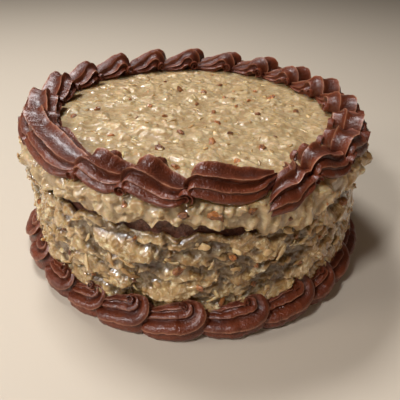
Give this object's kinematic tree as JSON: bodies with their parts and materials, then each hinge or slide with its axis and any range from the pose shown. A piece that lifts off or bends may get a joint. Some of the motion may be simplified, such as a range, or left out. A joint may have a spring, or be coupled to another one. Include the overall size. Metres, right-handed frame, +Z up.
{
  "type": "german chocolate cake",
  "caption": "Round uncut chocolate layer cake coated with coconut and pecan frosting, with a piped rope of chocolate buttercream round its top edge and its foot.",
  "frame": {"origin": "middle of the cake's underside, on the surface that it rests on", "axes": "+Z up; -Y towards the side that the picture shows from the front, +X to the right there"},
  "size_m": [0.246, 0.2458, 0.1063],
  "materials": {
    "sponge": "moist dark chocolate crumb",
    "coconut_frosting": "glossy cooked frosting, full of coconut shreds and chopped pecans",
    "buttercream": "satin chocolate buttercream with sharp piped ridges"
  },
  "bodies": {
    "root": {"sponge": "sponge", "side_frosting": "coconut_frosting", "top_frosting": "coconut_frosting", "top_rope": "buttercream", "foot_rope": "buttercream"}
  },
  "joints": []
}
